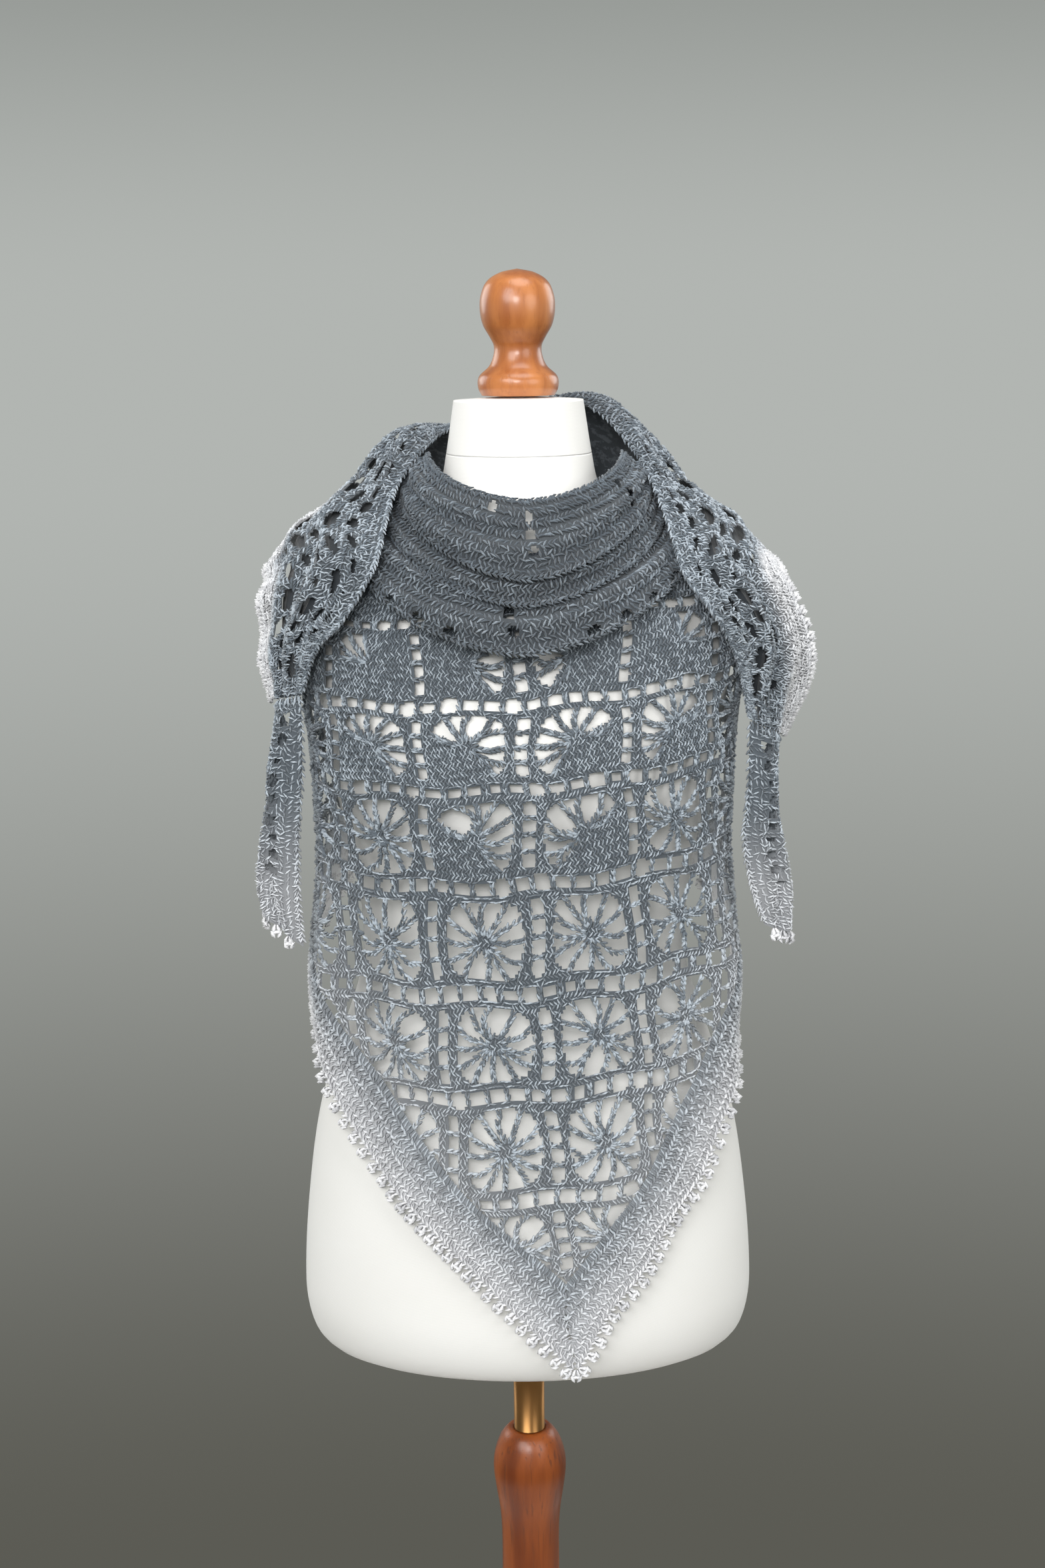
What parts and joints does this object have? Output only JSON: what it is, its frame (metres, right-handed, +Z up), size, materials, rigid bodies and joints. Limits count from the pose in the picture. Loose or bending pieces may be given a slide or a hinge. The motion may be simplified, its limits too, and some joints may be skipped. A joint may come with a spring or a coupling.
{
  "type": "lace shawl on dress form",
  "caption": "Crocheted triangular lace shawl with spider motifs and a picot edging, wound round the neck of a limbless dress form on a turned wooden stand.",
  "frame": {"origin": "centre of the base's underside", "axes": "+Z up along the post, -Y the way the form faces, +X the viewer's right from the front"},
  "size_m": [0.4113, 0.34, 1.5743],
  "materials": {
    "dark_yarn": "marled charcoal wool-mix yarn",
    "mid_yarn": "marled grey wool-mix yarn",
    "pale_yarn": "marled silver wool-mix yarn",
    "jersey": "smooth white jersey cover",
    "stained_wood": "stained and varnished",
    "bronze_tube": "bronzed, satin"
  },
  "bodies": {
    "stand": {"base": "stained_wood", "post": "stained_wood"},
    "form": {"pole": "bronze_tube", "torso": "jersey", "neck_cap": "jersey", "knob": "stained_wood", "front": "mid_yarn", "side_left": "mid_yarn", "side_right": "mid_yarn", "edging_left": "pale_yarn", "edging_right": "pale_yarn", "cowl_upper": "dark_yarn", "cowl_middle": "dark_yarn", "cowl_lower": "dark_yarn", "wing_left": "mid_yarn", "wing_right": "mid_yarn", "tail_left": "pale_yarn", "tail_right": "pale_yarn"}
  },
  "joints": [
    {"name": "height_slide", "type": "slide", "parent": "stand", "child": "form", "axis": [0, 0, 1], "range_m": [-0.06, 0.18]}
  ]
}
